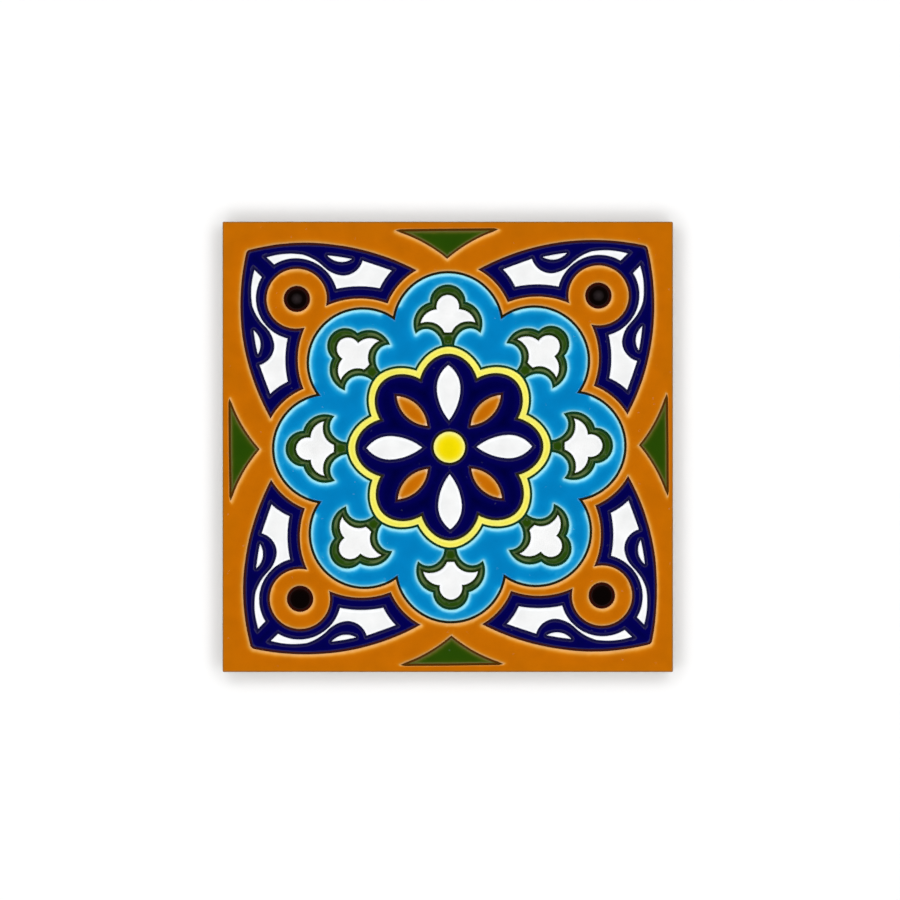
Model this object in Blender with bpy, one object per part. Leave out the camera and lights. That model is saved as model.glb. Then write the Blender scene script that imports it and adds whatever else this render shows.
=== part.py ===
"""A square relief-glazed wall tile: one fired slab whose face is parted into glaze
cells by narrow sunken lines. The tile lies on its back, face up. The origin is the
middle of the back, X runs to the right and Y to the top of the ornament.

The ornament is an eight-lobed medallion with a ring of trefoils round a flower, four
corner panels with a round boss each, and a small triangle at the middle of each side.
"""

import math

import bmesh
import bpy
from mathutils import Matrix, Vector

MM = 0.001

# The slab, in millimetres.
SIDE = 200.0
THICKNESS = 10.0
FACE_ROUND = 0.4
BACK_ARRIS = 0.4
CORNER_ROUND = 0.6
ROUND_SEGMENTS = 3

# The lines between the glaze cells, in millimetres. Where an outline is moved outwards, a
# corner whose mitre would be longer than LONGEST_MITRE times the move is cut off, and
# BLUNT_TIP times the move is left of it on each side.
LINE_WIDTH = 1.0
LINE_DEPTH = 0.5
ARC_SAG = 0.3
LONGEST_MITRE = 1.7
BLUNT_TIP = 0.5

# The ornament was set a little out of square with the slab.
PATTERN_TURN = math.radians(0.63)
PATTERN_SHIFT = (0.7, 0.0)

# The medallion and what is in it, in millimetres from its middle.
LOBES = 8
LOBE_CENTRE = 53.75
LOBE_RADIUS = 24.3
RING_OUTER = (45.25, 7.6, 1.75)
RING_INNER = (41.1, 8.9, 1.9)
RING_STEPS = 4
TREFOIL_FOOT = (2.2, 45.1)
DOT_RADIUS = 6.95
SLIM_PETAL_ENDS = (13.9, 32.3)
SLIM_PETAL_HALF_WIDTH = 3.35

# The corner panels: a round boss stands on the diagonal.
BOSS = (66.8, 66.8)
BOSS_RADIUS = 4.85


def arc(start, via, end):
    """The points after start on the circle through three points, up to end."""
    a, b, c = Vector(start), Vector(via), Vector(end)
    ab, ac = b - a, c - a
    twice_area = 2 * (ab.x * ac.y - ab.y * ac.x)
    centre = a + Vector((
        ac.y * ab.length_squared - ab.y * ac.length_squared,
        ab.x * ac.length_squared - ac.x * ab.length_squared,
    )) / twice_area
    radius = (a - centre).length
    first = math.atan2(a.y - centre.y, a.x - centre.x)
    last = math.atan2(c.y - centre.y, c.x - centre.x)
    way = math.copysign(1, twice_area)
    sweep = (way * (last - first)) % (2 * math.pi)
    steps = max(2, math.ceil(sweep / (2 * math.acos(1 - ARC_SAG / radius))))
    return [
        (
            centre.x + radius * math.cos(first + way * sweep * i / steps),
            centre.y + radius * math.sin(first + way * sweep * i / steps),
        )
        for i in range(1, steps + 1)
    ]


def path(start, *moves):
    """Points from start on. A move is a straight line's end, or an arc's via and end."""
    points = [start]
    for move in moves:
        points += [move[0]] if len(move) == 1 else arc(points[-1], *move)
    return points


def circle(centre, radius):
    x, y = centre
    top, bottom = (x, y + radius), (x, y - radius)
    left, right = (x - radius, y), (x + radius, y)
    return path(right, (top, left), (bottom, right))[:-1]


def mirrored(half):
    """A half outline that starts and ends on the Y axis, made whole by its reflection."""
    return half + [(-x, y) for x, y in reversed(half[1:-1])]


def across_diagonal(points):
    return [(y, x) for x, y in points]


def turned(points, quarter_turns):
    turn = Matrix.Rotation(quarter_turns * math.pi / 2, 2)
    return [tuple(turn @ Vector(p)) for p in points]


def widened(points, distance):
    """The closed outline moved outwards, or inwards where distance is negative."""
    count = len(points)
    pairs = [(points[i - 1], points[i]) for i in range(count)]
    turning = sum(x0 * y1 - x1 * y0 for (x0, y0), (x1, y1) in pairs)
    way = math.copysign(1, turning)
    moved = []
    for i in range(count):
        corner = Vector(points[i])
        before = (corner - Vector(points[i - 1])).normalized()
        after = (Vector(points[(i + 1) % count]) - corner).normalized()
        out_before = way * Vector((before.y, -before.x))
        out_after = way * Vector((after.y, -after.x))
        mitre = (out_before + out_after) / (1 + out_before.dot(out_after))
        outside = way * distance * (before.x * after.y - before.y * after.x) > 0
        if outside and mitre.length > LONGEST_MITRE:
            moved.append(tuple(corner + distance * (out_before + BLUNT_TIP * before)))
            moved.append(tuple(corner + distance * (out_after - BLUNT_TIP * after)))
        else:
            moved.append(tuple(corner + distance * mitre))
    return moved


def lobed_ring(mean, dip, power, first=-math.pi / LOBES, last=2 * math.pi - math.pi / LOBES):
    """A ring that is widest on the lobes' axes and dips to a point between them."""
    half = math.pi / LOBES
    steps = 2 * round((last - first) / half * RING_STEPS / 2)
    points = []
    for i in range(steps):
        angle = first + (last - first) * i / steps
        off_axis = abs((angle + half) % (2 * half) - half)
        radius = mean - dip * (off_axis / half) ** power
        points.append((radius * math.sin(angle), radius * math.cos(angle)))
    return points


def medallion():
    """Eight arcs about centres on the lobes' axes, meeting in cusps."""
    half = math.pi / LOBES
    cusp_radius = LOBE_CENTRE * math.cos(half) + math.sqrt(
        LOBE_RADIUS ** 2 - (LOBE_CENTRE * math.sin(half)) ** 2
    )
    cusp = (cusp_radius * math.sin(half), cusp_radius * math.cos(half))
    tip = (0.0, LOBE_CENTRE + LOBE_RADIUS)
    lobe = path((-cusp[0], cusp[1]), (tip, cusp))[:-1]
    return [p for i in range(LOBES) for p in turned(lobe, -4 * i / LOBES)]


def trefoil():
    """The leaf's outer line, from its left foot on the ring over the top to the right foot."""
    half = path(
        (0.0, 72.0), ((6.0, 69.0), (7.45, 64.3)), ((13.9, 59.0), (14.1, 51.6)),
        ((9.9, 53.3), (6.6, 52.5)), ((3.6, 49.7), TREFOIL_FOOT),
    )
    return [(-x, y) for x, y in reversed(half[1:])] + half


def leaf():
    """The trefoil closed along the ring."""
    return trefoil() + [(0.0, RING_OUTER[0])]


def leafy_ring():
    """The ring's outer line with the trefoils growing out of it."""
    foot_angle = math.atan2(*TREFOIL_FOOT)
    between = lobed_ring(*RING_OUTER, foot_angle, 2 * math.pi / LOBES - foot_angle)[1:]
    once = trefoil() + between
    return [p for i in range(LOBES) for p in turned(once, -4 * i / LOBES)]


def heart():
    return mirrored(path(
        (0.0, 51.1), ((1.6, 51.2),), ((4.2, 54.5), (8.6, 55.95)), ((10.4, 55.9), (12.05, 55.45)),
        ((10.2, 59.0), (4.85, 61.4)), ((3.75, 66.0), (0.0, 67.85)),
    ))


def broad_petal():
    return mirrored(path((0.0, 12.1), ((3.2, 17.4), (5.2, 25.5)), ((4.3, 31.0), (0.0, 36.6))))


def slim_petal():
    near, far = SLIM_PETAL_ENDS
    middle = (near + far) / 2
    return mirrored(path((0.0, near), ((SLIM_PETAL_HALF_WIDTH, middle), (0.0, far))))


def corner_panel():
    half = path(
        (87.7, 88.4), ((50.0, 90.3), (14.6, 79.0)), ((21.9, 72.9), (26.9, 64.9)),
        ((39.5, 67.15), (53.3, 64.3)),
    )
    round_boss = path((53.3, 64.3), ((76.6, 76.6), (64.3, 53.3)))
    return half + round_boss[1:-1] + across_diagonal(half)[::-1]


def broad_cell():
    return path(
        (24.7, 79.0), ((30.2, 81.0), (37.5, 83.5)), ((40.6, 78.9), (46.2, 76.95)),
        ((50.6, 78.1), (54.8, 81.0)), ((59.0, 84.3), (64.0, 86.5)), ((71.5, 86.9), (79.9, 85.4)),
        ((76.7, 82.3),), ((66.8, 84.95), (49.2, 71.1)), ((38.5, 72.15), (30.0, 71.2)),
        ((27.9, 75.0), (24.7, 79.0)),
    )[:-1]


def crescent_cell():
    return path((42.3, 84.3), ((47.3, 83.1), (53.0, 86.0)), ((47.5, 85.3), (42.3, 84.3)))[:-1]


def side_triangle():
    return mirrored(path((0.0, 96.2), ((20.6, 96.2),), ((9.1, 91.0), (0.0, 84.9))))


def around(outline):
    """The line whose middle runs along the outline."""
    return [widened(outline, LINE_WIDTH / 2), widened(outline, -LINE_WIDTH / 2)]


def outside(cell):
    """The line round a cell of glaze, whose own edge is the outline."""
    return [widened(cell, LINE_WIDTH), cell]


def lines():
    """Every sunken line of the face, as an outer outline and the cells that stand in it."""
    yellow_ring = lobed_ring(*RING_OUTER)
    leaves = [turned(leaf(), 4 * i / LOBES) for i in range(LOBES)]
    leafy = [widened(leafy_ring(), LINE_WIDTH / 2)]
    leafy += [widened(cell, -LINE_WIDTH / 2) for cell in [yellow_ring] + leaves]
    found = [
        around(medallion()),
        leafy,
        around(lobed_ring(*RING_INNER)),
        outside(circle((0.0, 0.0), DOT_RADIUS)),
    ]
    found += [outside(turned(heart(), 4 * i / LOBES)) for i in range(LOBES)]
    half_panel = [broad_cell(), crescent_cell()]
    for i in range(4):
        found.append(outside(turned(broad_petal(), i)))
        found.append(outside(turned(slim_petal(), i + 0.5)))
        found.append(outside(turned(side_triangle(), i)))
        found.append(around(turned(corner_panel(), i)))
        found.append(outside(turned(circle(BOSS, BOSS_RADIUS), i)))
        for cell in half_panel + [across_diagonal(cell) for cell in half_panel]:
            found.append(outside(turned(cell, i)))
    return found


def make_collection(name):
    collection = bpy.data.collections.new(name)
    bpy.context.scene.collection.children.link(collection)
    return collection


def make_slab(collection):
    """A block with a softly rounded face edge, a small arris at the back and eased corners."""
    shape = bmesh.new()
    bmesh.ops.create_cube(shape, size=1.0)
    bmesh.ops.scale(shape, vec=(SIDE * MM, SIDE * MM, THICKNESS * MM), verts=shape.verts)
    bmesh.ops.translate(shape, vec=(0, 0, THICKNESS * MM / 2), verts=shape.verts)
    upright = [e for e in shape.edges if abs(e.verts[0].co.z - e.verts[1].co.z) > 1e-6]
    bmesh.ops.bevel(
        shape, geom=upright, offset=CORNER_ROUND * MM, segments=ROUND_SEGMENTS, profile=0.5,
        affect="EDGES",
    )
    for height, offset, segments in ((THICKNESS, FACE_ROUND, ROUND_SEGMENTS), (0.0, BACK_ARRIS, 1)):
        rim = [e for e in shape.edges if all(abs(v.co.z - height * MM) < 1e-6 for v in e.verts)]
        bmesh.ops.bevel(
            shape, geom=rim, offset=offset * MM, segments=segments, profile=0.5, affect="EDGES"
        )
    mesh = bpy.data.meshes.new("glazed_tile")
    shape.to_mesh(mesh)
    shape.free()
    slab = bpy.data.objects.new("glazed_tile", mesh)
    collection.objects.link(slab)
    return slab


def make_line_cutter(collection):
    """Every line as a flat filled shape, as deep below the face as it stands above it."""
    shape = bmesh.new()
    for outlines in lines():
        curve = bpy.data.curves.new("line", "CURVE")
        curve.dimensions = "2D"
        curve.fill_mode = "BOTH"
        curve.extrude = LINE_DEPTH * MM
        for outline in outlines:
            spline = curve.splines.new("POLY")
            spline.points.add(len(outline) - 1)
            spline.use_cyclic_u = True
            for target, (x, y) in zip(spline.points, outline):
                target.co = (x * MM, y * MM, 0.0, 1.0)
        line = bpy.data.objects.new("line", curve)
        collection.objects.link(line)
        graph = bpy.context.evaluated_depsgraph_get()
        mesh = bpy.data.meshes.new_from_object(line.evaluated_get(graph))
        shape.from_mesh(mesh)
        bpy.data.objects.remove(line)
        bpy.data.meshes.remove(mesh)
    bmesh.ops.remove_doubles(shape, verts=shape.verts, dist=1e-6)
    bmesh.ops.recalc_face_normals(shape, faces=shape.faces)
    mesh = bpy.data.meshes.new("line_cutter")
    shape.to_mesh(mesh)
    shape.free()
    cutter = bpy.data.objects.new("line_cutter", mesh)
    cutter.location = (PATTERN_SHIFT[0] * MM, PATTERN_SHIFT[1] * MM, THICKNESS * MM)
    cutter.rotation_euler = (0, 0, PATTERN_TURN)
    cutter.hide_render = True
    cutter.display_type = "WIRE"
    collection.objects.link(cutter)
    return cutter


def make_glaze():
    material = bpy.data.materials.new("glazed_ceramic")
    material.use_nodes = True
    shader = material.node_tree.nodes["Principled BSDF"]
    shader.inputs["Base Color"].default_value = (0.58, 0.15, 0.0, 1.0)
    shader.inputs["Roughness"].default_value = 0.18
    shader.inputs["Metallic"].default_value = 0.0
    return material


def main():
    for old in list(bpy.data.objects):
        bpy.data.objects.remove(old)
    tile = make_slab(make_collection("wall_tile"))
    tile.data.materials.append(make_glaze())
    cut = tile.modifiers.new("lines", "BOOLEAN")
    cut.operation = "DIFFERENCE"
    cut.solver = "EXACT"
    cut.object = make_line_cutter(make_collection("cutters"))


main()
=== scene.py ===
"""The looks of the relief-glazed wall tile: one closed mesh that stands for the CAD slab.

The face is a height field. Its points lie on the edges of the glaze cells and on rows
that follow those edges, so each cell is a smooth pillow of glaze with a crisp rim, and
the lines between the cells are sunken and dull. One eighth of the ornament is meshed and
then reflected. Lengths are millimetres until the mesh is made.
"""

import math

import bmesh
import bpy
import numpy as np
from mathutils import Matrix, Vector, noise
from mathutils.geometry import delaunay_2d_cdt


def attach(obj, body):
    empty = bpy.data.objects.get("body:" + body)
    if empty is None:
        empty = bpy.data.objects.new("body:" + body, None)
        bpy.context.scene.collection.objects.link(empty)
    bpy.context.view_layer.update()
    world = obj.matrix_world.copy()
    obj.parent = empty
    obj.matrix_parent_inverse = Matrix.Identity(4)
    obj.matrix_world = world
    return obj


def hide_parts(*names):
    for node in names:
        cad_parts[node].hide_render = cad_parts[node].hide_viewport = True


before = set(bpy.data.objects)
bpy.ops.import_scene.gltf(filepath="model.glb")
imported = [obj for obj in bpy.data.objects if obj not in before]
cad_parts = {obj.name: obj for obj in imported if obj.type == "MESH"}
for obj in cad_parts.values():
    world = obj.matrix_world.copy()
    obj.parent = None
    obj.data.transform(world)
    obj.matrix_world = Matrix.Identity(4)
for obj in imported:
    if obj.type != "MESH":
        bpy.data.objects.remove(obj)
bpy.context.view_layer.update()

MM = 0.001
NODE = "glazed_tile"

# The slab. A straight edge of it ends FLAT_END from the middle.
SIDE = 200.0
THICKNESS = 10.0
FACE_ROUND = 0.4
BACK_ARRIS = 0.4
CORNER_ROUND = 0.6
FLAT_END = SIDE / 2 - CORNER_ROUND

# The lines between the cells, and how much wider the medallion's line and the flower's are,
# outwards and inwards.
LINE_WIDTH = 1.0
LINE_LEVEL = THICKNESS - 0.55
MEDALLION_LINE = (0.0, 0.1)
FLOWER_LINE = (0.08, -0.06)

# How finely outlines are drawn. Where an outline is moved outwards, a corner that bends by
# more than ROUNDED_FROM becomes a fan with two steps for each FAN_PAIR.
ARC_SAG = 0.015
LONGEST_STEP = 1.05
ROUNDED_FROM = math.radians(130)
FAN_PAIR = math.radians(30)

# The ornament was set a little out of square with the slab. Towards its far left and right it
# is drawn back by the first distance, between the second one off the middle and the third.
PATTERN_TURN = math.radians(0.63)
PATTERN_SHIFT = (0.7, -0.15)
PATTERN_STRETCH = (1.003, 0.9967)
DRAWN_BACK = (0.3, 84.0, 96.0)

# The ornament moves as one up to SET_WITHIN from the middle, and less and less from there to
# the tile's edge. Towards the corners, which begin between two distances from the tile's
# axes, that starts earlier.
SET_WITHIN = 97.2
EARLIER_IN_CORNERS = 8.2
CORNERS_BEGIN = (24.0, 60.0)

# The medallion and what is in it, from its middle.
LOBES = 8
LOBE_CENTRE = 53.75
LOBE_RADIUS = 24.3
RING_OUTER = (45.25, 7.6, 1.75)
RING_INNER = (41.1, 8.9, 1.9)
RING_STEPS = 24
TREFOIL_FOOT = (2.2, 45.1)
DOT_RADIUS = 6.95
SLIM_PETAL_ENDS = (13.7, 32.5)
SLIM_PETAL_HALF_WIDTH = 3.47

# The corner panels: a round boss stands on the diagonal.
BOSS = (66.8, 66.8)
BOSS_RADIUS = 4.85
# The painted highlight on the two upper bosses: full within the first distance of a boss's middle,
# gone at the second.
BOSS_HIGHLIGHT_SPOT = (0.8, 2.5)

# Rows of points inside a cell, by distance from its edge, and inside the tile's edge. A
# cell's rows keep a share of that distance from all other edges, and CELL_ROWS_END from the
# tile's.
CELL_ROWS = (0.12, 0.3, 0.55, 0.9, 1.4, 2.1, 3.2, 4.6)
RIM_ROWS = (0.0, 0.04, 0.13, 0.4, 0.52, 0.9, 1.7)
ROW_CLEARANCE = 0.93
CELL_ROWS_END = 1.9

# The spacing along a cell's row: what it is at the edge, how it grows inwards, and its most.
# Two points keep a share of it within a row, and a share of the rows' distance between rows.
ROW_SPACING = (0.75, 0.35, 2.2)
SHARE_IN_ROW = 0.7
SHARE_BETWEEN_ROWS = 0.75

# Along the tile's edge, points keep this distance, and those as near to a mirror line as the
# second one are put on it.
RIM_SPACING = 0.5
RIM_SNAP = 0.2

# The grid of points over broad cells: its pitch, the rise from row to row as a share of it,
# the distances that it keeps from the cells' edges and from the tile's, and the shares of the
# pitch that its points keep from each other and from all others.
FIELD_PITCH = 2.6
FIELD_RISE = 0.866
FIELD_CLEARANCE = (4.0, 2.6)
FIELD_APART = (0.8, 0.5)

# The distance from one loop of points to the next down the sides.
SIDE_STEP = 0.7

# What is too small to count: the distance between two points, a segment's length, a reach
# over the wedge's border, a point's depth in its cell, its distance from the tile's edge, a
# bend, and any number beside nought.
SAME_PLACE = 1e-4
SHORTEST_SEGMENT = 1e-5
SLACK = 1e-6
ON_EDGE = 2e-3
ON_RIM = 1e-3
STRAIGHT = 1e-3
TINY = 1e-9

# The decimals by which points are looked up, and by which the eight images are welded.
LOOKED_UP_BY = 3
WELDED_BY = 4

# How many points are measured against all edges at a time.
POINTS_AT_ONCE = 500

# Glaze pools within the first distance of a cusp, or of the tile's edge, and no longer does
# at the second one.
CUSP_POOL = (1.5, 6.5)
EDGE_POOL = (0.9, 3.3)
POOL_DEPTH = 4.0

# Orange deepens faster along a corner panel's edge up to this height, where that is the
# nearest edge or almost so.
PANEL_TIP_HEIGHT = 78.6
PANEL_DEEPENING = 1.5
ALMOST_NEAREST = 0.01

# Light from the top left is painted into the glaze's pale rims: the rims that face this way,
# at an angle clockwise from the top, are wider by a share of their depth, up to the reach,
# and the others narrower.
LIT_SIDE_ANGLE = math.radians(-22)
LIT_SIDE = (math.sin(LIT_SIDE_ANGLE), math.cos(LIT_SIDE_ANGLE))
LIT_SIDE_SHARE = 0.32
LIT_SIDE_REACH = 1.3

# The glazes that lie thin where nothing within the reach is as deep as the distances that
# follow it, and how far from the rim that begins to show. It is evened out over THIN_BLUR.
THINNED = (
    ("green", 1.2, (0.62, 0.92), (0.15, 0.5)),
    ("orange_petal", 1.5, (0.9, 1.35), (-0.3, 0.1)),
)
THIN_BLUR = 1.0

# The pillow of glaze: a steep shoulder, then a long low crown.
SHOULDER_HEIGHT = 0.28
SHOULDER_WIDTH = 0.5
SHOULDER_POWER = 2.2
CROWN_HEIGHT = 0.2
CROWN_REACH = 3.0
SHARP_ANGLE = math.radians(65)

# Sets of waves, each by its height, its size and its seed: those of the glaze, which fade in
# between two depths, the drift of the hand across and along, and the foot of the glaze that
# ran down the sides.
SWELLS = ((0.03, 9.0, 3.1), (0.02, 3.5, 8.7))
SWELLS_BEGIN = (0.3, 2.5)
DRIFT_ACROSS = ((0.08, 26.0, 1.3),)
DRIFT_ALONG = ((0.08, 26.0, 5.9),)
RUN_WAVES = ((0.7, 14.0, 2.2), (0.4, 4.0, 6.1))

# The sides: how high the foot of the glaze is, how softly it ends, and how far the bare clay
# stands back. The face's edge is worn between two distances from it.
RUN_FOOT = 8.6
RUN_SOFTNESS = (-0.4, 0.4)
SIDE_INSET = 0.12
WORN_WITHIN = (0.25, 0.75)


def arc(start, via, end):
    """The points after start on the circle through three points, up to end."""
    a, b, c = Vector(start), Vector(via), Vector(end)
    ab, ac = b - a, c - a
    twice_area = 2 * (ab.x * ac.y - ab.y * ac.x)
    centre = a + Vector((
        ac.y * ab.length_squared - ab.y * ac.length_squared,
        ab.x * ac.length_squared - ac.x * ab.length_squared,
    )) / twice_area
    radius = (a - centre).length
    first = math.atan2(a.y - centre.y, a.x - centre.x)
    last = math.atan2(c.y - centre.y, c.x - centre.x)
    way = math.copysign(1, twice_area)
    sweep = (way * (last - first)) % (2 * math.pi)
    step = min(2 * math.acos(1 - ARC_SAG / radius), LONGEST_STEP / radius)
    steps = max(2, math.ceil(sweep / step))
    return [
        (
            centre.x + radius * math.cos(first + way * sweep * i / steps),
            centre.y + radius * math.sin(first + way * sweep * i / steps),
        )
        for i in range(1, steps + 1)
    ]


def straight(start, end):
    steps = math.ceil(math.dist(start, end) / LONGEST_STEP)
    return [tuple(Vector(start).lerp(end, i / steps)) for i in range(1, steps + 1)]


def path(start, *moves):
    """Points from start on. A move is a straight line's end, or an arc's via and end."""
    points = [start]
    for move in moves:
        points += straight(points[-1], *move) if len(move) == 1 else arc(points[-1], *move)
    return points


def circle(centre, radius):
    """A whole number of steps in each eighth, so that it has points on all mirror lines."""
    steps = 8 * math.ceil(math.pi * radius / 4 / LONGEST_STEP)
    angles = [math.pi * (0.25 + 2 * i / steps) for i in range(steps)]
    return [(centre[0] + radius * math.cos(a), centre[1] + radius * math.sin(a)) for a in angles]


def mirrored(half):
    """A half outline that starts and ends on the Y axis, made whole by its reflection."""
    return half + [(-x, y) for x, y in reversed(half[1:-1])]


def across_diagonal(points):
    return [(y, x) for x, y in points]


def turned(points, quarter_turns):
    turn = Matrix.Rotation(quarter_turns * math.pi / 2, 2)
    return [tuple(turn @ Vector(p)) for p in points]


def normals_at(points):
    """For each corner of a closed outline: its place, both outward normals and its turn."""
    count = len(points)
    pairs = [(points[i - 1], points[i]) for i in range(count)]
    way = math.copysign(1, sum(x0 * y1 - x1 * y0 for (x0, y0), (x1, y1) in pairs))
    for i in range(count):
        corner = Vector(points[i])
        before = (corner - Vector(points[i - 1])).normalized()
        after = (Vector(points[(i + 1) % count]) - corner).normalized()
        out_before = way * Vector((before.y, -before.x))
        out_after = way * Vector((after.y, -after.x))
        yield corner, out_before, out_after, way * (before.x * after.y - before.y * after.x)


def widened(points, distance):
    """The closed outline moved outwards, or inwards where distance is negative."""
    moved = []
    for corner, before, after, turn in normals_at(points):
        bend = before.angle(after)
        if distance * turn > 0 and bend > ROUNDED_FROM:
            steps = 2 * math.ceil(bend / FAN_PAIR)
            for i in range(steps + 1):
                moved.append(tuple(corner + distance * before.slerp(after, i / steps)))
        else:
            moved.append(tuple(corner + distance * (before + after) / (1 + before.dot(after))))
    return moved


def lobed_ring(mean, dip, power, first=-math.pi / LOBES, last=2 * math.pi - math.pi / LOBES):
    """A ring that is widest on the lobes' axes and dips to a point between them."""
    half = math.pi / LOBES
    steps = 2 * round((last - first) / half * RING_STEPS / 2)
    points = []
    for i in range(steps):
        angle = first + (last - first) * i / steps
        off_axis = abs((angle + half) % (2 * half) - half)
        radius = mean - dip * (off_axis / half) ** power
        points.append((radius * math.sin(angle), radius * math.cos(angle)))
    return points


def medallion_cusp():
    """Where two of the medallion's lobes meet, half a lobe clockwise from the Y axis."""
    half = math.pi / LOBES
    radius = LOBE_CENTRE * math.cos(half) + math.sqrt(
        LOBE_RADIUS ** 2 - (LOBE_CENTRE * math.sin(half)) ** 2
    )
    return (radius * math.sin(half), radius * math.cos(half))


def medallion():
    """Eight arcs about centres on the lobes' axes, meeting in cusps."""
    part_way = 0.9
    via = (LOBE_RADIUS * math.sin(part_way), LOBE_CENTRE + LOBE_RADIUS * math.cos(part_way))
    half_lobe = path((0.0, LOBE_CENTRE + LOBE_RADIUS), (via, medallion_cusp()))
    lobe = [(-x, y) for x, y in reversed(half_lobe[1:])] + half_lobe[:-1]
    return [p for i in range(LOBES) for p in turned(lobe, -4 * i / LOBES)]


def trefoil():
    """The leaf's outer line, from its left foot on the ring over the top to the right foot."""
    half = path(
        (0.0, 72.0), ((6.0, 69.0), (7.45, 64.3)), ((13.9, 59.0), (14.1, 51.6)),
        ((9.9, 53.3), (6.6, 52.5)), ((3.6, 49.7), TREFOIL_FOOT),
    )
    return [(-x, y) for x, y in reversed(half[1:])] + half


def leaf():
    """The trefoil closed along the ring."""
    return trefoil() + [(0.0, RING_OUTER[0])]


def leafy_ring():
    """The ring's outer line with the trefoils growing out of it."""
    foot_angle = math.atan2(*TREFOIL_FOOT)
    between = lobed_ring(*RING_OUTER, foot_angle, 2 * math.pi / LOBES - foot_angle)[1:]
    once = trefoil() + between
    return [p for i in range(LOBES) for p in turned(once, -4 * i / LOBES)]


def heart():
    return mirrored(path(
        (0.0, 51.1), ((1.6, 51.2),), ((4.2, 54.5), (8.6, 55.95)), ((10.4, 55.9), (12.05, 55.45)),
        ((10.2, 59.0), (4.85, 61.4)), ((3.75, 66.0), (0.0, 67.85)),
    ))


def broad_petal():
    return mirrored(path((0.0, 12.1), ((3.2, 17.4), (5.2, 25.5)), ((4.3, 31.0), (0.0, 36.6))))


def slim_petal():
    near, far = SLIM_PETAL_ENDS
    middle = (near + far) / 2
    return mirrored(path((0.0, near), ((SLIM_PETAL_HALF_WIDTH, middle), (0.0, far))))


def corner_panel():
    half = path(
        (88.0, 88.0), ((87.86, 88.2), (87.38, 88.45)), ((50.0, 90.3), (14.6, 79.0)),
        ((21.9, 72.9), (26.9, 64.9)), ((39.5, 67.15), (53.3, 64.3)), ((55.1, 74.2), (76.63, 76.63)),
    )
    return half + across_diagonal(half[1:-1])[::-1]


def broad_cell():
    return path(
        (24.7, 79.0), ((30.2, 81.0), (37.5, 83.5)), ((40.6, 78.9), (46.2, 76.95)),
        ((50.6, 78.1), (54.8, 81.0)), ((59.0, 84.3), (64.0, 86.5)), ((71.5, 86.9), (79.9, 85.4)),
        ((76.7, 82.3),), ((66.8, 84.95), (49.2, 71.1)), ((38.5, 72.15), (30.0, 71.2)),
        ((27.9, 75.0), (24.7, 79.0)),
    )[:-1]


def crescent_cell():
    return path((42.3, 84.3), ((47.3, 83.1), (53.0, 86.0)), ((47.5, 85.3), (42.3, 84.3)))[:-1]


def side_triangle():
    """The line round a green triangle, which tapers out at the tips, and the triangle."""
    line = mirrored(path(
        (0.0, 97.4), ((20.8, 97.35),), ((22.8, 96.85),), ((20.4, 95.73),),
        ((9.7, 90.8), (0.0, 83.95)),
    ))
    cell = mirrored(path((0.0, 96.5), ((19.3, 96.38),), ((9.25, 91.51), (0.0, 85.0))))
    return [line, cell]


def around(outline, wider_out=0.0, wider_in=0.0):
    """The line that runs along the outline."""
    return [
        widened(outline, LINE_WIDTH / 2 + wider_out), widened(outline, -LINE_WIDTH / 2 - wider_in)
    ]


def outside(cell):
    """The line round a cell of glaze, whose own edge is the outline."""
    return [widened(cell, LINE_WIDTH), cell]


def all_round(shape):
    """The shape on each lobe's axis."""
    return [[turned(outline, 4 * i / LOBES) for outline in shape] for i in range(LOBES)]


def ornament():
    """Every sunken line as (colour, outer outline and the cells that stand in it), by what
    the lines go round. What doesn't reach into the wedge can be left out."""
    yellow_ring = lobed_ring(*RING_OUTER)
    leaves = [turned(leaf(), 4 * i / LOBES) for i in range(LOBES)]
    leafy = [widened(leafy_ring(), LINE_WIDTH / 2)]
    leafy += [widened(cell, -LINE_WIDTH / 2) for cell in [yellow_ring] + leaves]
    panel_cells = [broad_cell(), crescent_cell()]
    panel_cells += [across_diagonal(cell) for cell in panel_cells]
    return {
        "medallion": [("line_black", around(medallion(), *MEDALLION_LINE))],
        "leafy ring": [("line_green", leafy)],
        "flower": [("line_ring", around(lobed_ring(*RING_INNER), *FLOWER_LINE))],
        "dot": [("line_black", outside(circle((0.0, 0.0), DOT_RADIUS)))],
        "hearts": [("line_leaf", shape) for shape in all_round(outside(heart()))],
        "broad petals": [("line_navy", outside(turned(broad_petal(), i))) for i in (0, 3)],
        "slim petal": [("line_petal", outside(turned(slim_petal(), -0.5)))],
        "triangle": [("line_ochre", side_triangle())],
        "panel": [("line_brown", around(corner_panel()))],
        "boss": [("line_boss", outside(circle(BOSS, BOSS_RADIUS)))],
        "panel cells": [("line_navy", outside(cell)) for cell in panel_cells],
    }


def cells(groups):
    """Each glaze with the outline of a cell of it, the innermost cells first."""
    def inner(name):
        return [shape[1] for colour, shape in groups[name]]

    leaves = groups["leafy ring"][0][1][2:]
    parts = (
        ("yellow_dot", inner("dot")),
        ("white", inner("broad petals") + inner("hearts") + inner("panel cells")),
        ("orange_petal", inner("slim petal")),
        ("navy", inner("flower")),
        ("yellow_ring", inner("leafy ring")),
        ("green", leaves),
        ("blue", inner("medallion")),
        ("black", inner("boss")),
        ("navy", inner("panel")),
        ("green_side", inner("triangle")),
    )
    return [(glaze, outline) for glaze, outlines in parts for outline in outlines]


def in_wedge(x, y, slack=0.0):
    return (x >= -slack) and (y >= x - slack) and (y <= SIDE / 2 + slack)


def snapped(point):
    """The point put exactly on a mirror line that it all but touches."""
    x, y = point
    if abs(x) < SAME_PLACE:
        return (0.0, y)
    if abs(x - y) < SAME_PLACE:
        return ((x + y) / 2, (x + y) / 2)
    return (x, y)


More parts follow.
